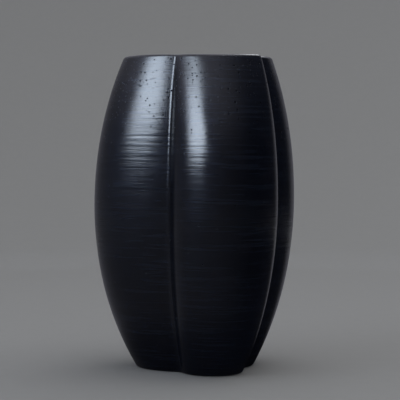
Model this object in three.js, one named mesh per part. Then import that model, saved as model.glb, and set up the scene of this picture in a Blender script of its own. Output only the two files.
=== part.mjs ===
// A tall black-glazed vase with three lobes. Each lobe is a wall of its own, and the walls are luted
// together along three upright creases. Millimetres, +Z up. The origin is on the underside, on the axis
// that the plan grows about. -Y is the front, where the crease between the left and the front lobe shows.
import * as THREE from 'three';

// Overall size.
const HEIGHT = 300;
const WIDEST_AT = 160;
const HALF_WIDTH = 94.6;
const LEAN = 3.9; // how far the axis has drifted towards +X at the rim

// Half widths at both ends as shares of HALF_WIDTH, and how much of each drop is quartic, not parabolic.
const RIM_SHARE = 0.743;
const RIM_QUARTIC = 0.1;
const FOOT_SHARE = 0.585;
const FOOT_QUARTIC = 0.13;

// Clay.
const WALL = 5;
const GAP = 0.3; // left between pieces that are luted together
const CREASE_CLEARANCE = 0.65 * GAP; // along each wall, because the walls meet there at an angle
const FOOT_ROUNDING = 1.6;
const SLAB_THICKNESS = 7;
const RIM_COIL_HEIGHT = 5.5;
const SEAM_REACH = 9; // how far a seam coil spreads to each side of its crease
const SEAM_EDGE = 0.9;
const SEAM_CROWN = 3.2;

// Each lobe's plan is an oval with its own reach to the front and to the back of its centre, in shares of
// the half width. body holds at the widest level, and rim and foot are what the oval has gradually turned
// into at both ends. middle is the bearing in degrees, seen from the oval's centre, of the middle of the
// stretch that is wall.
const LOBES = [
  {
    name: 'left',
    middle: 167,
    body: { x: -0.117, y: 0.064, across: 0.979, front: 0.747, back: 0.72 },
    rim: { x: -0.113, across: 0.968 },
    foot: {},
  },
  {
    name: 'front',
    middle: 290,
    body: { x: 0.222, y: -0.618, across: 0.533, front: 0.479, back: 0.75 },
    rim: { x: 0.206, across: 0.562, front: 0.237 },
    foot: { x: 0.225, across: 0.526 },
  },
  {
    name: 'back',
    middle: 395,
    body: { x: 0.429, y: 0.224, across: 0.54, front: 0.646, back: 0.62 },
    rim: { x: 0.409, across: 0.547 },
    foot: {},
  },
];
const PAST_THE_CREASE = 120; // degrees from a lobe's middle to where its oval is inside the next lobe

// How late each share turns: the power of the way to the rim or the foot that it follows.
const TURNING = { x: 2, y: 2, across: 2, front: 3, back: 2 };

// How finely the pieces are divided.
const STEPS_AROUND_LOBE = 26;
const STEPS_UP = 24;
const STEPS_ACROSS_SEAM = 8;
const STEPS_ROUND_LIP = 6;
const STEPS_ROUND_FOOT = 3;
const BISECTIONS = 40;

const glaze = new THREE.MeshStandardMaterial({ color: 0x15181e, roughness: 0.25, metalness: 0 });
const bareClay = new THREE.MeshStandardMaterial({ color: 0x2b2826, roughness: 0.85, metalness: 0 });

const { lerp, degToRad } = THREE.MathUtils;

// How far z is from the widest level, as a share of the way to the rim or to the foot.
function shareAlong(z) {
  return z > WIDEST_AT ? (z - WIDEST_AT) / (HEIGHT - WIDEST_AT) : (WIDEST_AT - z) / WIDEST_AT;
}

function halfWidth(z) {
  const t = shareAlong(z);
  const drop = 1 - (z > WIDEST_AT ? RIM_SHARE : FOOT_SHARE);
  const quartic = z > WIDEST_AT ? RIM_QUARTIC : FOOT_QUARTIC;
  return HALF_WIDTH * (1 - drop * ((1 - quartic) * t ** 2 + quartic * t ** 4));
}

function axisAt(z) {
  return (LEAN * z) / HEIGHT;
}

// The lobe's oval at height z, drawn in by inset.
function ovalAt(lobe, z, inset) {
  const width = halfWidth(z);
  const end = { ...lobe.body, ...(z > WIDEST_AT ? lobe.rim : lobe.foot) };
  const share = (key) => lerp(lobe.body[key], end[key], shareAlong(z) ** TURNING[key]);
  return {
    x: axisAt(z) + width * share('x'),
    y: width * share('y'),
    across: width * share('across') - inset,
    front: width * share('front') - inset,
    back: width * share('back') - inset,
  };
}

function pointOn(oval, angle) {
  const reach = Math.sin(angle) < 0 ? oval.front : oval.back;
  return new THREE.Vector2(oval.x + oval.across * Math.cos(angle), oval.y + reach * Math.sin(angle));
}

function isInside(oval, point) {
  const reach = point.y < oval.y ? oval.front : oval.back;
  return ((point.x - oval.x) / oval.across) ** 2 + ((point.y - oval.y) / reach) ** 2 < 1;
}

// The angle on one oval where it dips into the other, between an angle outside it and an angle inside it.
function crossing(oval, other, outside, inside) {
  for (let i = 0; i < BISECTIONS; i++) {
    const middle = (outside + inside) / 2;
    if (isInside(other, pointOn(oval, middle))) {
      inside = middle;
    } else {
      outside = middle;
    }
  }
  return (outside + inside) / 2;
}

function angleFor(oval, angle, distance) {
  const reach = Math.sin(angle) < 0 ? oval.front : oval.back;
  return distance / Math.hypot(oval.across * Math.sin(angle), reach * Math.cos(angle));
}

// Where lobe number index starts and ends at height z, as angles on its own oval.
function stretchOf(index, z, inset) {
  const oval = ovalAt(LOBES[index], z, inset);
  const middle = degToRad(LOBES[index].middle);
  const past = degToRad(PAST_THE_CREASE);
  const before = ovalAt(LOBES[(index + 2) % 3], z, inset);
  const after = ovalAt(LOBES[(index + 1) % 3], z, inset);
  return {
    oval,
    start: crossing(oval, before, middle, middle - past),
    end: crossing(oval, after, middle, middle + past),
  };
}

// A point on a lobe, from share 0 at its first crease to share 1 at its last, kept clear of both creases.
function onLobe(index, share, z, inset, clearance) {
  const { oval, start, end } = stretchOf(index, z, inset);
  const from = start + angleFor(oval, start, clearance);
  const to = end - angleFor(oval, end, clearance);
  const point = pointOn(oval, lerp(from, to, share));
  return new THREE.Vector3(point.x, point.y, z);
}

// A point on the whole outline, where lap runs from 0 to 1 once around the vase.
function onOutline(lap, z, inset) {
  const place = (((lap % 1) + 1) % 1) * 3;
  const index = Math.min(2, Math.floor(place + 1e-6));
  return onLobe(index, Math.max(0, place - index), z, inset, 0);
}

// Moves every vertex of a three.js geometry with place(vertex), and turns the faces out if that
// mirrored it.
function shaped(geometry, place) {
  const position = geometry.getAttribute('position');
  const index = geometry.getIndex();
  const vertex = new THREE.Vector3();
  for (let i = 0; i < position.count; i++) {
    vertex.fromBufferAttribute(position, i);
    const moved = place(vertex);
    position.setXYZ(i, moved.x, moved.y, moved.z);
  }
  const corners = [0, 1, 2].map(() => new THREE.Vector3());
  let volume = 0;
  for (let i = 0; i < index.count; i += 3) {
    corners.forEach((corner, k) => corner.fromBufferAttribute(position, index.getX(i + k)));
    volume += corners[0].dot(corners[1].clone().cross(corners[2]));
  }
  if (volume < 0) {
    for (let i = 0; i < index.count; i += 3) {
      const second = index.getX(i + 1);
      index.setX(i + 1, index.getX(i + 2));
      index.setX(i + 2, second);
    }
  }
  geometry.computeVertexNormals();
  return geometry;
}

function named(name, geometry, material) {
  const mesh = new THREE.Mesh(geometry, material);
  mesh.name = name;
  return mesh;
}

// A lobe's wall, bent from a flat slab. It stands on the ground on a rounded edge and ends below the
// rim coil.
function lobeWall(index) {
  const slab = new THREE.BoxGeometry(1, 1, 1, STEPS_AROUND_LOBE, 1, STEPS_UP);
  const top = HEIGHT - RIM_COIL_HEIGHT - GAP;
  return shaped(slab, (vertex) => {
    const step = Math.round((vertex.z + 0.5) * STEPS_UP);
    let z = 0;
    let rounding = 0;
    if (step < STEPS_ROUND_FOOT) {
      const turn = (step / STEPS_ROUND_FOOT) * (Math.PI / 2);
      z = FOOT_ROUNDING * (1 - Math.cos(turn));
      rounding = FOOT_ROUNDING * (1 - Math.sin(turn));
    } else {
      z = lerp(FOOT_ROUNDING, top, (step - STEPS_ROUND_FOOT) / (STEPS_UP - STEPS_ROUND_FOOT));
    }
    const inset = vertex.y < 0 ? rounding : WALL;
    return onLobe(index, vertex.x + 0.5, z, inset, CREASE_CLEARANCE);
  });
}

// The floor of the vase, a slab set in between the feet of the walls.
function floorSlab() {
  const disc = new THREE.CylinderGeometry(1, 1, 1, 3 * STEPS_AROUND_LOBE, 1);
  return shaped(disc, (vertex) => {
    const z = vertex.y > 0 ? SLAB_THICKNESS : 0;
    const rim = onOutline(Math.atan2(vertex.x, vertex.z) / (2 * Math.PI), z, WALL + GAP);
    const axis = new THREE.Vector3(axisAt(z), 0, z);
    return axis.lerp(rim, Math.min(1, Math.hypot(vertex.x, vertex.z)));
  });
}

// The coil that closes the top of the walls, with a rounded lip.
function rimCoil() {
  const arm = 2 * WALL; // keeps the lathe profile off the axis
  const low = HEIGHT - RIM_COIL_HEIGHT;
  const spring = HEIGHT - WALL / 2;
  const profile = [new THREE.Vector2(arm, low), new THREE.Vector2(arm + WALL, low)];
  for (let i = 0; i <= STEPS_ROUND_LIP; i++) {
    const turn = (i / STEPS_ROUND_LIP) * Math.PI;
    const across = arm + (WALL / 2) * (1 + Math.cos(turn));
    profile.push(new THREE.Vector2(across, spring + (WALL / 2) * Math.sin(turn)));
  }
  profile.push(profile[0].clone());
  const ring = new THREE.LatheGeometry(profile, 3 * STEPS_AROUND_LOBE);
  return shaped(ring, (vertex) => {
    const inset = arm + WALL - Math.hypot(vertex.x, vertex.z);
    return onOutline(Math.atan2(vertex.x, vertex.z) / (2 * Math.PI), vertex.y, inset);
  });
}

// The coil pressed over the ridge that a crease makes inside, between lobe number index and the next one.
function seamCoil(index) {
  const strip = new THREE.BoxGeometry(2, 1, 1, STEPS_ACROSS_SEAM, 1, STEPS_UP);
  const bottom = SLAB_THICKNESS + GAP;
  const top = HEIGHT - RIM_COIL_HEIGHT - 2 * GAP;
  return shaped(strip, (vertex) => {
    const z = lerp(bottom, top, vertex.z + 0.5);
    const crown = SEAM_EDGE + SEAM_CROWN * Math.cos((vertex.x * Math.PI) / 2);
    const inset = WALL + GAP + (vertex.y < 0 ? 0 : crown);
    const beside = vertex.x < 0 ? index : (index + 1) % 3;
    const { oval, start, end } = stretchOf(beside, z, inset);
    const crease = vertex.x < 0 ? end : start;
    const point = pointOn(oval, crease + angleFor(oval, crease, vertex.x * SEAM_REACH));
    return new THREE.Vector3(point.x, point.y, z);
  });
}

const vase = new THREE.Group();
LOBES.forEach((lobe, index) => vase.add(named(`${lobe.name}_lobe_wall`, lobeWall(index), glaze)));
vase.add(named('floor_slab', floorSlab(), bareClay));
vase.add(named('rim_coil', rimCoil(), glaze));
['front', 'right', 'rear'].forEach((side, index) => {
  vase.add(named(`${side}_seam_coil`, seamCoil(index), glaze));
});

export default vase;
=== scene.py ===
import math
import bpy
import numpy as np
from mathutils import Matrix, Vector


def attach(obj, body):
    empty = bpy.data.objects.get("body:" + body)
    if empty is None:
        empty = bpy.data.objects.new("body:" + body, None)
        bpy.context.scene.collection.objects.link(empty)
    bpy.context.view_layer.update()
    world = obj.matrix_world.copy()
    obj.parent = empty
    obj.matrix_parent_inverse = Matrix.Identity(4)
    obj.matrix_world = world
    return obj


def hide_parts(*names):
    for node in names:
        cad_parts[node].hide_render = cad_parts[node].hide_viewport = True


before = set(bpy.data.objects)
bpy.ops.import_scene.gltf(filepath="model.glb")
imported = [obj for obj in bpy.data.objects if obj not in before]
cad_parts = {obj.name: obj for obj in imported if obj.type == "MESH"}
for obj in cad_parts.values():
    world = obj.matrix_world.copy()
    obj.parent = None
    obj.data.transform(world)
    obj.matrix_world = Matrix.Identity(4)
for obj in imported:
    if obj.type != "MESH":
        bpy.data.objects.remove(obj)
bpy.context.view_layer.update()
MM = 0.001

# ---------------------------------------------------------------- the vase's own dimensions, in millimetres
HEIGHT = 300.0
WIDEST_AT = 160.0
HALF_WIDTH = 94.6
LEAN = 3.9
RIM_SHARE, RIM_QUARTIC = 0.743, 0.1
FOOT_SHARE, FOOT_QUARTIC = 0.585, 0.13
WALL = 5.0
SLAB_THICKNESS = 7.0
RIM_COIL_HEIGHT = 5.5
FOOT_ROUNDING = 1.6
PAST_THE_CREASE = math.radians(120)
BURIED = 0.3  # how deep a piece is pressed into the clay beside it

# Each lobe's plan is an oval: x, y, reach across, reach to the front, reach to the back. All are shares of
# the half width.
LOBES = (
    {
        "name": "left", "middle": math.radians(167),
        "rim": (-0.113, 0.064, 0.968, 0.747, 0.72),
        "body": (-0.117, 0.064, 0.979, 0.747, 0.72),
        "foot": (-0.117, 0.064, 0.979, 0.747, 0.72),
    },
    {
        "name": "front", "middle": math.radians(290),
        "rim": (0.206, -0.618, 0.562, 0.237, 0.75),
        "body": (0.222, -0.618, 0.533, 0.479, 0.75),
        "foot": (0.225, -0.618, 0.526, 0.479, 0.75),
    },
    {
        "name": "back", "middle": math.radians(395),
        "rim": (0.409, 0.224, 0.547, 0.646, 0.62),
        "body": (0.429, 0.224, 0.54, 0.646, 0.62),
        "foot": (0.429, 0.224, 0.54, 0.646, 0.62),
    },
)
# How late each of the five shares turns: the power of the way to the rim or the foot that it follows.
TURNING = (2, 2, 2, 3, 2)
SEAMS = ("front", "right", "rear")

# Rounding of the creases.
FILLET_AT_FOOT = 9.0
FILLET_TIGHTENS = (90.0, 205.0)
FILLET_AT_RIM = 4.0
INNER_FILLET = 2.5
BESIDE_FILLET = 3.5  # how far the close stations go on past the fillet

# The fine raised line that the luting left in a crease outside.
BEAD_AT_FOOT, BEAD_AT_RIM = 0.12, 0.42
BEAD_WIDTH = 0.75
BEAD_OFFSET = 2.2

# The bead of clay pressed over each crease on the inside.
SEAM_REACH = 9.0
SEAM_CROWN = 3.8
SEAM_TAPER = 7.0
SEAM_SOFTENING = 8
SEAM_UNEVEN = 0.12
SEAM_EDGE_ANGLE = math.radians(50)

# The floor: a shallow hollow below and a cove up to the walls above.
HOLLOW = 0.5
HOLLOW_SHARE = 0.82
HOLLOW_EASES = 0.12
COVE = 5.0
SLAB_EDGE = 0.8
EDGE_ANGLE = math.radians(40)
FLOOR_RIPPLE = 0.05
RIPPLE_TURNS = 30

# Throwing ridges: pitch, height, phase, and how much each one wanders with the bearing.
RIDGES = ((3.3, 0.008, 0.3, 0.6), (4.9, 0.014, 1.9, -1.1), (6.6, 0.018, 4.1, 1.4), (9.9, 0.018, 2.6, -0.8))
INSIDE_RIDGES = 1.8
WAVY_RIM = 0.35

# How finely the surfaces are divided.
LEVEL_STEP = 0.85
STEPS_AROUND = 80
STEPS_IN_FILLET = 10
STEPS_BESIDE_FILLET = 6
STEPS_ROUND_FOOT = 6
STEPS_ROUND_LIP = 18
STEPS_ACROSS_SEAM = 24
STEPS_TO_CENTRE = 24
STEPS_IN_COVE = 8
BISECTIONS = 40

# ---------------------------------------------------------------- the glaze and the clay, in metres
GLAZE_DARK, GLAZE_LIGHT = (0.0022, 0.0036, 0.0095, 1), (0.0036, 0.0060, 0.0150, 1)
# Painted sheen: a lighter colour laid along the throwing lines for the light the ridges catch.
LINE_SHEEN_COLOUR = (0.0085, 0.0130, 0.0260, 1)
MOTTLE_COLOUR = (0.0085, 0.0085, 0.0150, 1)
# Painted shade: the near-black colour laid inside the pinholes.
PIT_SHADE_COLOUR = (0.001, 0.001, 0.001, 1)
LINES, THREADS = (0.0025, 0.060, 2.0), (0.0015, 0.026, 2.0)  # pitch, length, detail
PITTED_FROM, PITTED_TO = 0.19, 0.285  # the heights between which the pinholes gather
FINE_PITS, COARSE_PITS = (0.0033, 0.0010, 0.8), (0.0065, 0.0013, 0.9)  # distance apart, radius, share kept
# Painted shade in the pinholes: how far their colour is darkened and their reflection dimmed. The
# roughening is the pits' own.
PIT_SHADE_DARKENS, PIT_ROUGHENS, PIT_SHADE_DULLS = 0.85, 0.5, 0.45
SMOOTHEST, ROUGHEST = 0.185, 0.235
GLAZE_IOR, FULL_SPECULAR = 1.4, 0.5
SWELL_DEPTH, LINE_DEPTH, THREAD_DEPTH, GRAIN_DEPTH, PIT_DEPTH = 0.00005, 0.0001, 0.00009, 0.00007, 0.0003
CLAY_DARK, CLAY_LIGHT, CLAY_GRIT = (0.030, 0.025, 0.022, 1), (0.060, 0.050, 0.042, 1), (0.11, 0.10, 0.09, 1)
GRIT_DEPTH = 0.0003
PAPER_DARK, PAPER_LIGHT = (0.42, 0.423, 0.43, 1), (0.44, 0.443, 0.45, 1)

# ---------------------------------------------------------------- the camera and the studio, in metres
CAMERA_AT = (0.0012, -1.35, 0.2232)
CAMERA_PITCH = math.radians(2.6)
LENS = 125.35
STUDIO_RADIUS = 3.2
STUDIO_COVE = 2.2
STUDIO_HEIGHT = 3.0
STUDIO_STEPS = 96
FLOOR_DROP = 0.0002  # keeps the floor just clear of the underside
LIGHT_AIM = 0.2
OVERHEAD_AT, OVERHEAD_SIZE, OVERHEAD_POWER, OVERHEAD_COLOUR = (0.9, 0.3, 2.9), 3.2, 26.0, (1.0, 0.995, 0.98)
LEFT_FROM, LEFT_SIZE, LEFT_POWER, LEFT_COLOUR = (-54, 35, 1.6), 1.1, 2.0, (0.93, 0.97, 1.0)
AIR_COLOUR = (0.97, 0.98, 1.0, 1)
AIR_STRENGTH = 0.38

# The dome, as radiance by azimuth (0 is the camera's side, below 0 is left) and elevation in degrees.
# Each window is low edge, high edge, softness of the low edge, softness of the high edge. A box is a window
# in azimuth and one in elevation. Each change is from and to elevation, then the value at both.
DOME_RADIUS = 1.25
DOME_CENTRE = 0.21
DOME_RINGS = 24
SURROUND = 0.19
DARK_SIDE = 0.028
DARK_AZIMUTHS = (20, 136, 45, 10)
SKY = (10, 62, 1, 5.5)
COOL_AIR = 1.15
FOOT_SHADE = (0.205, 0.28, 0.15, 0.85)  # from and to distance in metres, then the value at both
LEFT_BOX = ((-71, -32, 12, 3), (10.5, 66, 6, 6))
LEFT_EDGE_MOVES = (28, 52, 0, 12)
RIGHT_EDGE_MOVES = (24, 38, 0, 8)
RIGHT_EDGE_LOW = (6, 24, 14, 0)
LEFT_BOX_DIMS = (30, 60, 1, 0.64)
LEFT_BOX_COLOUR = (15.2, 17.6, 20.6, 1)
LEFT_GLOW = ((-100, -60, 25, 10), (20, 55, 12, 10))
GLOW_STRENGTH = 0.5
BACK_BOX = ((142, 168, 7, 5), (36, 60, 6, 5))
BACK_BOX_COLOUR = (5.0, 5.2, 5.4, 1)


# ---------------------------------------------------------------- plan and profile
def smooth_step(value, low, high):
    t = np.clip((value - low) / (high - low), 0, 1)
    return t * t * (3 - 2 * t)


def share_along(z):
    """How far z is from the widest level, as a share of the way to the rim or to the foot."""
    return np.where(z > WIDEST_AT, (z - WIDEST_AT) / (HEIGHT - WIDEST_AT), (WIDEST_AT - z) / WIDEST_AT)


def half_width(z):
    t = share_along(z)
    drop = np.where(z > WIDEST_AT, 1 - RIM_SHARE, 1 - FOOT_SHARE)
    quartic = np.where(z > WIDEST_AT, RIM_QUARTIC, FOOT_QUARTIC)
    return HALF_WIDTH * (1 - drop * ((1 - quartic) * t**2 + quartic * t**4))


def axis_at(z):
    return LEAN * z / HEIGHT


def oval_at(index, z, inset):
    """A lobe's oval at every height in z, drawn in by inset. x, y, across, front and back are columns."""
    lobe, way, width = LOBES[index % 3], share_along(z), half_width(z)
    ends = [np.where(z > WIDEST_AT, rim, foot) for rim, foot in zip(lobe["rim"], lobe["foot"])]
    shares = [body + (end - body) * way**power for body, end, power in zip(lobe["body"], ends, TURNING)]
    x, y, across, front, back = (width * share for share in shares)
    return [part[:, None] for part in (x + axis_at(z), y, across - inset, front - inset, back - inset)]


def reach_of(oval, angle):
    return np.where(np.sin(angle) < 0, oval[3], oval[4])


def on_oval(oval, angle):
    return oval[0] + oval[2] * np.cos(angle), oval[1] + reach_of(oval, angle) * np.sin(angle)


def normal_of(oval, angle):
    x, y = np.cos(angle) / oval[2], np.sin(angle) / reach_of(oval, angle)
    size = np.hypot(x, y)
    return x / size, y / size


def is_inside(oval, x, y):
    reach = np.where(y < oval[1], oval[3], oval[4])
    return ((x - oval[0]) / oval[2]) ** 2 + ((y - oval[1]) / reach) ** 2 < 1


def crossing(oval, other, outside, inside):
    """The angle on one oval where it dips into the other, between one outside it and one inside it."""
    outside, inside = np.full_like(oval[0], outside), np.full_like(oval[0], inside)
    for _ in range(BISECTIONS):
        middle = (outside + inside) / 2
        dips = is_inside(other, *on_oval(oval, middle))
        inside, outside = np.where(dips, middle, inside), np.where(dips, outside, middle)
    return (outside + inside) / 2


def angle_for(oval, angle, distance):
    return distance / np.hypot(oval[2] * np.sin(angle), reach_of(oval, angle) * np.cos(angle))


def stretch_of(index, z, inset):
    """A lobe's ovals and the angles where its wall starts and ends."""
    oval, middle = oval_at(index, z, inset), LOBES[index % 3]["middle"]
    start = crossing(oval, oval_at(index + 2, z, inset), middle, middle - PAST_THE_CREASE)
    end = crossing(oval, oval_at(index + 1, z, inset), middle, middle + PAST_THE_CREASE)
    return oval, start, end


def half_turn(index, z, inset):
    """Half the angle that the outline turns by at the crease after lobe number index."""
    before, _, end = stretch_of(index, z, inset)
    after, start, _ = stretch_of(index + 1, z, inset)
    (ax, ay), (bx, by) = normal_of(before, end), normal_of(after, start)
    return np.arccos(np.clip(ax * bx + ay * by, -1, 1)) / 2


def fillet_radius(z, inset):
    """The glaze and clay round off a crease, more so towards the foot."""
    outside = FILLET_AT_FOOT + (FILLET_AT_RIM - FILLET_AT_FOOT) * smooth_step(z, *FILLET_TIGHTENS)
    return (outside + (INNER_FILLET - outside) * np.clip(inset / WALL, 0, 1))[:, None]


def bead_height(z, arc, after):
    """The fine ridge where two walls were luted, at arc along the surface from the middle of the crease."""
    towards_rim = z[:, None] / HEIGHT
    middle = BEAD_OFFSET * towards_rim * (1 if after else -1)
    height = BEAD_AT_FOOT + (BEAD_AT_RIM - BEAD_AT_FOOT) * towards_rim
    return height * np.exp(-(((arc - middle) / BEAD_WIDTH) ** 2))


def beside_crease(z, inset, turn, after):
    """Distance from the crease and lift off the wall, station by station from its middle outwards."""
    radius = fillet_radius(z, inset)
    bend = turn * np.linspace(1, 0, STEPS_IN_FILLET + 1)
    beyond = np.linspace(0, BESIDE_FILLET, STEPS_BESIDE_FILLET + 1)[1:]
    straight = np.zeros_like(turn) + beyond
    arc = np.concatenate([radius * (turn - bend), radius * turn + straight], axis=1)
    bend = np.concatenate([bend, 0 * straight], axis=1)
    straight = np.concatenate([np.zeros_like(bend[:, : STEPS_IN_FILLET + 1]), straight], axis=1)
    outside = 1 - np.clip(inset / WALL, 0, 1)[:, None]
    bead = outside * bead_height(z, arc, after)
    distance = radius * (np.tan(turn) - np.sin(bend)) + straight + bead * np.sin(bend)
    return distance, radius * (1 - np.cos(bend)) + bead * np.cos(bend)


def stations(index, z, inset):
    """One lobe's outline at every height in z, as x and y, with a rounded fillet towards both creases."""
    oval, start, end = stretch_of(index, z, inset)
    near_start = beside_crease(z, inset, half_turn(index + 2, z, inset), True)
    near_end = beside_crease(z, inset, half_turn(index, z, inset), False)
    first = start + angle_for(oval, start, near_start[0])
    last = (end - angle_for(oval, end, near_end[0]))[:, ::-1]
    share = np.linspace(0, 1, STEPS_AROUND + 1)[1:-1]
    middle = first[:, -1:] + (last[:, :1] - first[:, -1:]) * share
    angles = np.concatenate([first, middle, last], axis=1)
    lift = np.concatenate([near_start[1], np.zeros_like(middle), near_end[1][:, ::-1]], axis=1)
    (x, y), (nx, ny) = on_oval(oval, angles), normal_of(oval, angles)
    return x + nx * lift, y + ny * lift


# ---------------------------------------------------------------- the surface left by the hands
def throwing(x, y, z):
    """How far the throwing ridges stand out from the smooth surface."""
    bearing = np.arctan2(y, x)
    drift = 0.7 * np.sin(bearing + 0.8) + 0.3 * np.sin(2 * bearing - 1.0) + 0.15 * np.sin(5 * bearing)
    total = sum(
        size * np.sin(2 * np.pi * (z + drift) / pitch + phase + weave * np.sin(2 * bearing + z / 37))
        for pitch, size, phase, weave in RIDGES
    )
    swell = 0.7 + 0.3 * np.sin(z / 11 + 1.7 * np.sin(2 * bearing + 0.5)) * np.sin(z / 5.3 + bearing)
    calm_above = 1 - 0.7 * smooth_step(z, 205, 250)
    fades_at_ends = smooth_step(z, 2, 8) * (1 - smooth_step(z, HEIGHT - 14, HEIGHT - RIM_COIL_HEIGHT))
    return total * swell * calm_above * fades_at_ends


def with_hand_marks(x, y, z, strength):
    """The points with throwing ridges pushed out from the axis and a slightly wavy rim."""
    out = strength * throwing(x, y, z)
    away = np.hypot(x, y)
    bearing = np.arctan2(y, x)
    wave = np.sin(2 * bearing + 1.1) + 0.5 * np.sin(3 * bearing + 2.3) + 0.25 * np.sin(7 * bearing)
    lift = WAVY_RIM * wave * (z / HEIGHT) ** 6
    return np.stack([x * (1 + out / away), y * (1 + out / away), z + lift], axis=-1)


def whole_outline(z, inset, strength):
    """Points all round the vase, a row for each height. Two lobes share the points at a crease."""
    lobes = [np.stack(stations(index, z, inset), axis=-1) for index in range(3)]
    for index in range(3):
        before, after = lobes[index], lobes[(index + 1) % 3]
        shared = (before[:, -1] + after[:, 0]) / 2
        before[:, -1] = shared
        after[:, 0] = shared
    plan = np.concatenate([lobe[:, :-1] for lobe in lobes], axis=1)
    heights = np.repeat(z[:, None], plan.shape[1], axis=1)
    return with_hand_marks(plan[..., 0], plan[..., 1], heights, strength[:, None])


# ---------------------------------------------------------------- the section through the wall
def wall_levels():
    """z and inset of the rows on the outside of the walls, from the foot to where the rim coil starts."""
    turn = np.linspace(0, np.pi / 2, STEPS_ROUND_FOOT + 1)[:-1]
    top = HEIGHT - RIM_COIL_HEIGHT
    straight = np.linspace(FOOT_ROUNDING, top, round((top - FOOT_ROUNDING) / LEVEL_STEP) + 1)
    z = np.concatenate([FOOT_ROUNDING * (1 - np.cos(turn)), straight])
    inset = np.concatenate([FOOT_ROUNDING * (1 - np.sin(turn)), np.zeros_like(straight)])
    return z, inset


def lip_levels():
    """z and inset of the rows over the lip, without those that the walls have already."""
    spring = HEIGHT - WALL / 2
    rise = np.linspace(HEIGHT - RIM_COIL_HEIGHT, spring, 5)[1:-1]
    turn = np.linspace(0, np.pi, STEPS_ROUND_LIP + 1)
    z = np.concatenate([rise, spring + WALL / 2 * np.sin(turn), rise[::-1]])
    inset = np.concatenate([0 * rise, WALL / 2 * (1 - np.cos(turn)), 0 * rise + WALL])
    return z, inset


def along(points, axis, closed):
    """The direction along one axis of a grid of points, exact to second order for uneven steps."""
    ahead, behind = np.roll(points, -1, axis) - points, points - np.roll(points, 1, axis)
    if not closed:
        first, last = ([slice(None)] * 3 for _ in range(2))
        first[axis], last[axis] = 0, -1
        behind[tuple(first)], ahead[tuple(last)] = ahead[tuple(first)], behind[tuple(last)]
    step_ahead, step_behind = (np.linalg.norm(step, axis=-1, keepdims=True) for step in (ahead, behind))
    return ahead / step_ahead**2 + behind / step_behind**2


def grid_normals(points, rows_closed=False, columns_closed=True):
    normal = np.cross(along(points, 1, columns_closed), along(points, 0, rows_closed))
    return normal / np.linalg.norm(normal, axis=-1, keepdims=True)


def vase_skin():
    """The vase's surface as rows from the foot up over the lip and down inside, with its normals."""
    (wall_z, wall_inset), (lip_z, lip_inset) = wall_levels(), lip_levels()
    z = np.concatenate([wall_z, lip_z, wall_z[::-1]])
    inset = np.concatenate([wall_inset, lip_inset, np.full_like(wall_z, WALL)])
    strength = 1 + (INSIDE_RIDGES - 1) * inset / WALL
    points = whole_outline(z, inset, strength)
    return points, grid_normals(points), len(wall_z)


# ---------------------------------------------------------------- meshes
def grid_faces(rows, columns, rows_closed, columns_closed):
    row, column = np.meshgrid(
        np.arange(rows if rows_closed else rows - 1),
        np.arange(columns if columns_closed else columns - 1),
        indexing="ij",
    )
    above, beside = (row + 1) % rows * columns, (column + 1) % columns
    here = row * columns
    return np.stack([here + column, here + beside, above + beside, above + column], axis=-1).reshape(-1, 4)


def mesh_piece(name, points, faces, materials, normals=None, plain=(), bare=()):
    """A piece from points in millimetres. normals belong to the points, and the faces numbered in plain
    ignore them. The faces numbered in bare take the second material."""
    mesh = bpy.data.meshes.new(name)
    mesh.from_pydata((points * MM).tolist(), [], faces if isinstance(faces, list) else faces.tolist())
    for material in materials:
        mesh.materials.append(material)
    count = len(mesh.polygons)
    smooth, second = np.ones(count, bool), np.zeros(count, np.int32)
    smooth[list(plain)] = False
    second[list(bare)] = 1
    mesh.polygons.foreach_set("use_smooth", smooth)
    mesh.polygons.foreach_set("material_index", second)
    if normals is not None:
        by_corner = normals[np.asarray(faces)]
        by_corner[list(plain)] = 0
        mesh.normals_split_custom_set(by_corner.reshape(-1, 3).tolist())
    mesh.update()
    piece = bpy.data.objects.new(name, mesh)
    bpy.context.scene.collection.objects.link(piece)
    return piece


def belongs(piece, node):
    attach(piece, "root")
    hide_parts(node)


def lobe_wall(index, skin, normals, wall_rows, materials):
    """A lobe's wall: outside, inside, and plain faces on top, underneath and beside its neighbours."""
    per_lobe, around = skin.shape[1] // 3, skin.shape[1]
    columns = (index * per_lobe + np.arange(per_lobe + 1)) % around
    rows = np.r_[0:wall_rows, skin.shape[0] - wall_rows : skin.shape[0]]
    points, own_normals = (grid[rows][:, columns] for grid in (skin, normals))
    height, width = points.shape[:2]
    sheet = grid_faces(height, width, True, False)
    outside = np.arange(wall_rows - 1)
    inside = height - 1 - outside
    cap = np.stack([outside, inside, inside - 1, outside + 1], axis=-1) * width
    faces = np.concatenate([sheet, cap[:, ::-1], cap + width - 1])
    top = np.arange((wall_rows - 1) * (width - 1), wall_rows * (width - 1))
    underside = np.arange((height - 1) * (width - 1), height * (width - 1))
    caps = np.arange(len(sheet), len(faces))
    plain = np.concatenate([top, underside, caps])
    name = LOBES[index]["name"]
    flat_points, flat_normals = points.reshape(-1, 3), own_normals.reshape(-1, 3)
    piece = mesh_piece(f"{name}_lobe", flat_points, faces, materials, flat_normals, plain, underside)
    belongs(piece, f"{name}_lobe_wall")


def rounded_lip(skin, normals, wall_rows, material):
    """The rim coil, from the top of the walls outside to the top of the walls inside."""
    rows = np.arange(wall_rows - 1, skin.shape[0] - wall_rows + 1)
    points = skin[rows]
    faces = grid_faces(len(rows), skin.shape[1], True, True)
    underneath = np.arange(len(faces) - skin.shape[1], len(faces))
    flat_normals = normals[rows].reshape(-1, 3)
    piece = mesh_piece("rounded_lip", points.reshape(-1, 3), faces, [material], flat_normals, underneath)
    belongs(piece, "rim_coil")


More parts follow.
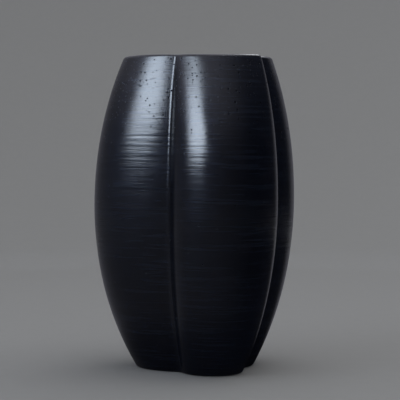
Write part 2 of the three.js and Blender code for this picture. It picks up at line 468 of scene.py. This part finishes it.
def slab_rows():
    """z, inset and share of the way out, from the middle underneath round the edge to the middle on top."""
    below = np.linspace(0, 1, STEPS_TO_CENTRE + 1)[1:]
    hollow = HOLLOW * (1 - smooth_step(below, HOLLOW_SHARE - HOLLOW_EASES, HOLLOW_SHARE))
    rows = [(rise, WALL + SLAB_EDGE, s) for rise, s in zip(hollow, below)]
    rows += [(SLAB_EDGE, WALL - BURIED, 1.0), (SLAB_THICKNESS, WALL - BURIED, 1.0)]
    for turn in np.linspace(0, np.pi / 2, STEPS_IN_COVE + 1):
        inset = WALL - BURIED + COVE * (1 - np.cos(turn))
        rows.append((SLAB_THICKNESS + COVE * (1 - np.sin(turn)), inset, 1.0))
    wave = [FLOOR_RIPPLE * math.sin(s * RIPPLE_TURNS) for s in below]
    edge = WALL - BURIED + COVE
    rows += [(SLAB_THICKNESS + w * s, edge, s) for s, w in zip(below[-2::-1], wave[-2::-1])]
    return np.array(rows).T


def floor_slab(materials):
    z, inset, share = slab_rows()
    edge = whole_outline(z, inset, np.zeros_like(z))
    axis = np.stack([axis_at(z), 0 * z, z], axis=-1)[:, None, :]
    points = axis + (edge - axis) * share[:, None, None]
    height, width = points.shape[:2]
    middle_below, middle_above = height * width, height * width + 1
    faces = grid_faces(height, width, False, True).tolist()
    column = np.arange(width)
    beside = (column + 1) % width
    top_row = (height - 1) * width
    faces += [[middle_below, int(b), int(a)] for a, b in zip(column, beside)]
    faces += [[top_row + int(a), top_row + int(b), middle_above] for a, b in zip(column, beside)]
    ends = [[0, 0, HOLLOW], [axis_at(SLAB_THICKNESS), 0, SLAB_THICKNESS]]
    glazed = int(np.argmax(z > SLAB_EDGE)) * width
    bare = [*range(glazed), *range((height - 1) * width, (height - 1) * width + width)]
    piece = mesh_piece("floor", np.concatenate([points.reshape(-1, 3), ends]), faces, materials, bare=bare)
    piece.data.set_sharp_from_angle(angle=EDGE_ANGLE)
    belongs(piece, "floor_slab")


def seam_side(index, z, reach, inset):
    """Points across a crease inside, at reach to its left (below 0) or right, each with its own inset."""
    columns = []
    for across, own_inset in zip(reach, inset.T):
        beside = index if across < 0 else index + 1
        oval, start, end = stretch_of(beside, z, own_inset)
        crease = end if across < 0 else start
        x, y = on_oval(oval, crease + angle_for(oval, crease, across))
        columns.append(np.concatenate([x, y, z[:, None]], axis=1))
    return np.stack(columns, axis=1)


def softened(points, passes):
    """The points with every row evened out along itself, its two ends apart."""
    for _ in range(passes):
        points[:, 1:-1] = (points[:, :-2] + 2 * points[:, 1:-1] + points[:, 2:]) / 4
    return points


def seam_bead(index, material):
    top = HEIGHT - RIM_COIL_HEIGHT - 1
    z = np.linspace(SLAB_THICKNESS + 0.5, top, round(top / 2))
    across = np.linspace(-1, 1, STEPS_ACROSS_SEAM + 1)
    fades = np.sqrt(np.clip((top - z) / SEAM_TAPER, 0, 1))[:, None]
    uneven = 1 + SEAM_UNEVEN * np.sin(z / 9 + index)[:, None]
    crown = SEAM_CROWN * fades * uneven * np.cos(across * np.pi / 2)[None, :] ** 1.5
    face = softened(seam_side(index, z, across * SEAM_REACH, WALL - BURIED + crown), SEAM_SOFTENING)
    back = seam_side(index, z, across * SEAM_REACH, np.full_like(crown, WALL - 2 * BURIED))
    points = np.concatenate([back, face[:, ::-1]], axis=1)
    height, width = points.shape[:2]
    column = np.arange(len(across) - 1)
    cap = np.stack([column, column + 1, width - 2 - column, width - 1 - column], axis=-1)
    sides = grid_faces(height, width, False, True)
    faces = np.concatenate([sides, cap[:, ::-1], cap + (height - 1) * width])
    piece = mesh_piece(f"{SEAMS[index]}_seam_bead", points.reshape(-1, 3), faces, [material])
    piece.data.set_sharp_from_angle(angle=SEAM_EDGE_ANGLE)
    belongs(piece, f"{SEAMS[index]}_seam_coil")


# ---------------------------------------------------------------- materials
class Nodes:
    """A short way to add and link the nodes of a material."""

    def __init__(self, name):
        self.material = bpy.data.materials.new(name)
        self.material.use_nodes = True
        self.tree = self.material.node_tree
        self.shader = self.tree.nodes["Principled BSDF"]
        self.place = self.tree.nodes.new("ShaderNodeTexCoord").outputs["Object"]

    def add(self, kind, links=(), **settings):
        node = self.tree.nodes.new("ShaderNode" + kind)
        for key, value in settings.items():
            setattr(node, key, value)
        for socket, value in dict(links).items():
            self.feed(node.inputs[socket], value)
        return node

    def feed(self, socket, value):
        """Link a socket to another, or give it a plain value."""
        if isinstance(value, bpy.types.NodeSocket):
            self.tree.links.new(value, socket)
        else:
            socket.default_value = value

    def noise(self, scale, detail=3.0, roughness=0.55, vector=None):
        links = {"Vector": vector or self.place, "Scale": scale, "Detail": detail, "Roughness": roughness}
        return self.add("TexNoise", links).outputs["Fac"]

    def ramp(self, value, low, high, to_low=0.0, to_high=1.0):
        links = {"Value": value, "From Min": low, "From Max": high, "To Min": to_low, "To Max": to_high}
        return self.add("MapRange", links, interpolation_type="SMOOTHSTEP").outputs["Result"]

    def math(self, operation, *values):
        return self.add("Math", dict(enumerate(values)), operation=operation).outputs[0]

    def blend(self, share, first, second):
        node = self.add("Mix", data_type="RGBA")
        for socket, value in ((0, share), (6, first), (7, second)):
            self.feed(node.inputs[socket], value)
        return node.outputs[2]

    def bump(self, height, distance, strength=1.0, normal=None):
        links = {"Height": height, "Distance": distance, "Strength": strength}
        if normal is not None:
            links["Normal"] = normal
        return self.add("Bump", links).outputs["Normal"]

    def paint(self, **sockets):
        for key, value in sockets.items():
            self.feed(self.shader.inputs[key.replace("_", " ")], value)
        return self.material


def pinholes(nodes, cell, radius, share_of_cells, where):
    """1 in the small round pits that bubbles leave in glaze, 0 elsewhere. Sizes are in metres."""
    cells = nodes.add("TexVoronoi", {"Vector": nodes.place, "Scale": 1 / cell}, feature="F1")
    chance = nodes.add("SeparateColor", {"Color": cells.outputs["Color"]})
    chosen = nodes.math("LESS_THAN", chance.outputs["Red"], nodes.math("MULTIPLY", where, share_of_cells))
    size = nodes.ramp(chance.outputs["Green"], 0, 1, radius / cell * 0.5, radius / cell)
    near = nodes.math("SUBTRACT", 1.0, nodes.math("DIVIDE", cells.outputs["Distance"], size))
    pit = nodes.ramp(near, 0.0, 0.6)
    return nodes.math("MULTIPLY", pit, chosen)


def streaks(nodes, pitch, length, detail):
    """Noise that varies fast with height and slowly around the vase, like throwing lines."""
    scale = (1 / length, 1 / length, 1 / pitch)
    stretch = nodes.add("VectorMath", {0: nodes.place, 1: scale}, operation="MULTIPLY")
    return nodes.noise(1.0, detail, 0.6, stretch.outputs[0])


def glaze_material():
    nodes = Nodes("black_glaze")
    height = nodes.add("SeparateXYZ", {"Vector": nodes.place}).outputs["Z"]
    towards_rim = nodes.ramp(height, PITTED_FROM, PITTED_TO, 0.02, 1.0)
    cloud, drift = nodes.noise(9.0, 4.0), nodes.noise(45.0, 4.0, 0.6)
    patches = nodes.math("MULTIPLY", towards_rim, nodes.ramp(drift, 0.34, 0.54, 0.5, 1.0))
    fine, coarse = pinholes(nodes, *FINE_PITS, patches), pinholes(nodes, *COARSE_PITS, patches)
    pits = nodes.math("MAXIMUM", fine, coarse)
    lines, threads = streaks(nodes, *LINES), streaks(nodes, *THREADS)
    ground = nodes.blend(nodes.ramp(cloud, 0.35, 0.68), GLAZE_DARK, GLAZE_LIGHT)
    # Painted sheen: lighter streaks along the throwing lines, standing in for the light the ridges catch.
    line_sheen = nodes.blend(nodes.ramp(lines, 0.45, 0.7, 0, 0.85), ground, LINE_SHEEN_COLOUR)
    mottled = nodes.blend(nodes.ramp(drift, 0.52, 0.75, 0, 0.5), line_sheen, MOTTLE_COLOUR)
    # Painted shade: the pinholes darkened in colour.
    colour = nodes.blend(nodes.math("MULTIPLY", pits, PIT_SHADE_DARKENS), mottled, PIT_SHADE_COLOUR)
    sheen = nodes.ramp(nodes.noise(70.0, 4.0, 0.6), 0.3, 0.7, SMOOTHEST, ROUGHEST)
    roughness = nodes.math("ADD", sheen, nodes.math("MULTIPLY", pits, PIT_ROUGHENS))
    grain = nodes.math("MULTIPLY", nodes.noise(1100.0, 2.0, 0.5), nodes.ramp(height, 0.2, 0.3, 0.55, 1.0))
    skin = nodes.bump(nodes.noise(160.0, 2.0, 0.5), SWELL_DEPTH)
    skin = nodes.bump(lines, LINE_DEPTH, 1.0, skin)
    skin = nodes.bump(threads, THREAD_DEPTH, 1.0, skin)
    skin = nodes.bump(grain, GRAIN_DEPTH, 1.0, skin)
    skin = nodes.bump(nodes.math("SUBTRACT", 0.0, pits), PIT_DEPTH, 0.8, skin)
    # Painted shade: the reflection dimmed inside the pinholes so they show as dark dots.
    shine = nodes.math("SUBTRACT", FULL_SPECULAR, nodes.math("MULTIPLY", pits, PIT_SHADE_DULLS))
    nodes.paint(Base_Color=colour, Roughness=roughness, Normal=skin)
    return nodes.paint(IOR=GLAZE_IOR, Specular_IOR_Level=shine)


def clay_material():
    nodes = Nodes("bare_clay")
    grit = nodes.noise(900.0, 4.0, 0.7)
    stain = nodes.noise(22.0, 4.0, 0.55)
    body = nodes.blend(nodes.ramp(stain, 0.3, 0.7), CLAY_DARK, CLAY_LIGHT)
    colour = nodes.blend(nodes.ramp(grit, 0.55, 0.75, 0, 0.7), body, CLAY_GRIT)
    skin = nodes.bump(grit, GRIT_DEPTH, 0.7)
    return nodes.paint(Base_Color=colour, Roughness=nodes.ramp(grit, 0.3, 0.7, 0.78, 0.92), Normal=skin)


def paper_material():
    nodes = Nodes("grey_paper")
    tooth = nodes.noise(60.0, 3.0)
    colour = nodes.blend(tooth, PAPER_DARK, PAPER_LIGHT)
    return nodes.paint(Base_Color=colour, Roughness=0.95, Specular_IOR_Level=0.1)


# ---------------------------------------------------------------- the studio
def round_backdrop(material):
    """A seamless floor that curves up into a wall all round the vase."""
    turn = np.linspace(0, np.pi / 2, 17)
    flat, rise = STUDIO_RADIUS - STUDIO_COVE, STUDIO_COVE
    profile = [(r, 0.0) for r in np.linspace(0.05, flat, 12)]
    profile += [(flat + rise * math.sin(t), rise * (1 - math.cos(t))) for t in turn[1:]]
    profile.append((STUDIO_RADIUS, STUDIO_HEIGHT))
    lap = np.arange(STUDIO_STEPS) * 2 * np.pi / STUDIO_STEPS
    points = [[r * math.cos(a), r * math.sin(a), z] for r, z in profile for a in lap]
    faces = grid_faces(len(profile), STUDIO_STEPS, False, True)[:, ::-1].tolist()
    points.append([0, 0, 0])
    faces += [[k, (k + 1) % STUDIO_STEPS, len(points) - 1] for k in range(STUDIO_STEPS)]
    backdrop = mesh_piece("studio_floor", np.array(points) / MM, faces, [material])
    backdrop.location.z = -FLOOR_DROP


def polar(azimuth, elevation, distance):
    """A point seen from the vase: azimuth in degrees from the camera's side, below 0 to the left."""
    a, e = math.radians(azimuth), math.radians(elevation)
    flat = distance * math.cos(e)
    return Vector((flat * math.sin(a), -flat * math.cos(a), LIGHT_AIM + distance * math.sin(e)))


def soft_light(name, at, side, power, colour):
    """A light for the floor and the clay; what the glaze mirrors is the dome."""
    data = bpy.data.lights.new(name, "AREA")
    data.shape, data.size = "SQUARE", side
    data.energy, data.color = power, colour
    light = bpy.data.objects.new(name, data)
    light.location = at
    light.rotation_euler = (light.location - Vector((0, 0, LIGHT_AIM))).to_track_quat("Z", "Y").to_euler()
    light.visible_glossy = False
    bpy.context.scene.collection.objects.link(light)


def dome_material():
    """What the vase mirrors: softboxes left and behind in a surround that darkens right and at the foot."""
    nodes = Nodes("studio_dome")
    across, along, up = nodes.add("SeparateXYZ", {"Vector": nodes.place}).outputs
    distance = nodes.add("VectorMath", {0: nodes.place}, operation="LENGTH").outputs["Value"]
    to_camera = nodes.math("MULTIPLY", along, -1.0)
    azimuth = nodes.math("DEGREES", nodes.math("ARCTAN2", across, to_camera))
    elevation = nodes.math("DEGREES", nodes.math("ARCSINE", nodes.math("DIVIDE", up, DOME_RADIUS)))

    def window(value, low, high, soft_low, soft_high):
        opens = nodes.ramp(value, low - soft_low, low + soft_low)
        return nodes.math("MULTIPLY", opens, nodes.ramp(value, high - soft_high, high + soft_high, 1, 0))

    def box(direction, azimuths, elevations):
        return nodes.math("MULTIPLY", window(direction, *azimuths), window(elevation, *elevations))

    dark_side = window(azimuth, *DARK_AZIMUTHS)
    level = nodes.math("SUBTRACT", SURROUND, nodes.math("MULTIPLY", dark_side, SURROUND - DARK_SIDE))
    gain = nodes.math("MULTIPLY", nodes.ramp(elevation, *SKY), nodes.ramp(distance, *FOOT_SHADE))
    glow = nodes.math("MULTIPLY", box(azimuth, *LEFT_GLOW), GLOW_STRENGTH)
    surround = nodes.math("ADD", nodes.math("MULTIPLY", level, gain), glow)
    cool = nodes.math("MULTIPLY", surround, COOL_AIR)
    grey = nodes.add("CombineColor", {"Red": surround, "Green": surround, "Blue": cool}).outputs[0]
    from_left = nodes.math("SUBTRACT", azimuth, nodes.ramp(elevation, *LEFT_EDGE_MOVES))
    from_right = nodes.math("ADD", azimuth, nodes.ramp(elevation, *RIGHT_EDGE_MOVES))
    from_right = nodes.math("ADD", from_right, nodes.ramp(elevation, *RIGHT_EDGE_LOW))
    left = nodes.math("MULTIPLY", box(from_left, *LEFT_BOX), box(from_right, *LEFT_BOX))
    left = nodes.math("MULTIPLY", left, nodes.ramp(elevation, *LEFT_BOX_DIMS))
    behind = box(azimuth, *BACK_BOX)
    lit = nodes.blend(left, nodes.blend(behind, grey, BACK_BOX_COLOUR), LEFT_BOX_COLOUR)
    black = (0, 0, 0, 1)
    return nodes.paint(Base_Color=black, Emission_Color=lit, Emission_Strength=1.0, Specular_IOR_Level=0.0)


def only_mirrored(piece):
    """Only reflections see the piece, so it never stands between the vase and a camera."""
    piece.location.z = DOME_CENTRE
    piece.visible_camera = piece.visible_diffuse = piece.visible_shadow = False


def studio_dome(material):
    """A dome on a disc just above the floor, around the vase."""
    low = DOME_CENTRE - 2 * FLOOR_DROP
    lap = np.arange(STUDIO_STEPS) * 2 * np.pi / STUDIO_STEPS
    turns = np.linspace(-math.asin(low / DOME_RADIUS), np.pi / 2 - 0.02, DOME_RINGS)
    dome = [[math.cos(t) * math.cos(a), math.cos(t) * math.sin(a), math.sin(t)] for t in turns for a in lap]
    dome_faces = grid_faces(DOME_RINGS, STUDIO_STEPS, False, True)
    only_mirrored(mesh_piece("studio_dome", np.array(dome) * DOME_RADIUS / MM, dome_faces, [material]))
    edge = math.sqrt(DOME_RADIUS**2 - low**2)
    radii = np.linspace(0.001, 1, DOME_RINGS) * edge
    disc = [[r * math.cos(a), r * math.sin(a), -low] for r in radii for a in lap]
    only_mirrored(mesh_piece("studio_disc", np.array(disc) / MM, dome_faces, [material]))


def studio():
    round_backdrop(paper_material())
    studio_dome(dome_material())
    soft_light("overhead_light", OVERHEAD_AT, OVERHEAD_SIZE, OVERHEAD_POWER, OVERHEAD_COLOUR)
    soft_light("left_light", polar(*LEFT_FROM), LEFT_SIZE, LEFT_POWER, LEFT_COLOUR)
    world = bpy.data.worlds.new("studio_air")
    world.use_nodes = True
    air = world.node_tree.nodes["Background"]
    air.inputs["Color"].default_value = AIR_COLOUR
    air.inputs["Strength"].default_value = AIR_STRENGTH
    bpy.context.scene.world = world
    bpy.context.scene.view_settings.view_transform = "Standard"


def camera():
    data = bpy.data.cameras.new("camera")
    data.lens = LENS
    eye = bpy.data.objects.new("camera", data)
    eye.location = CAMERA_AT
    eye.rotation_euler = (math.pi / 2 - CAMERA_PITCH, 0, 0)
    bpy.context.scene.collection.objects.link(eye)
    bpy.context.scene.camera = eye


def vase():
    glaze, clay = glaze_material(), clay_material()
    skin, normals, wall_rows = vase_skin()
    for index in range(3):
        lobe_wall(index, skin, normals, wall_rows, [glaze, clay])
        seam_bead(index, glaze)
    rounded_lip(skin, normals, wall_rows, glaze)
    floor_slab([glaze, clay])


camera()
studio()
vase()
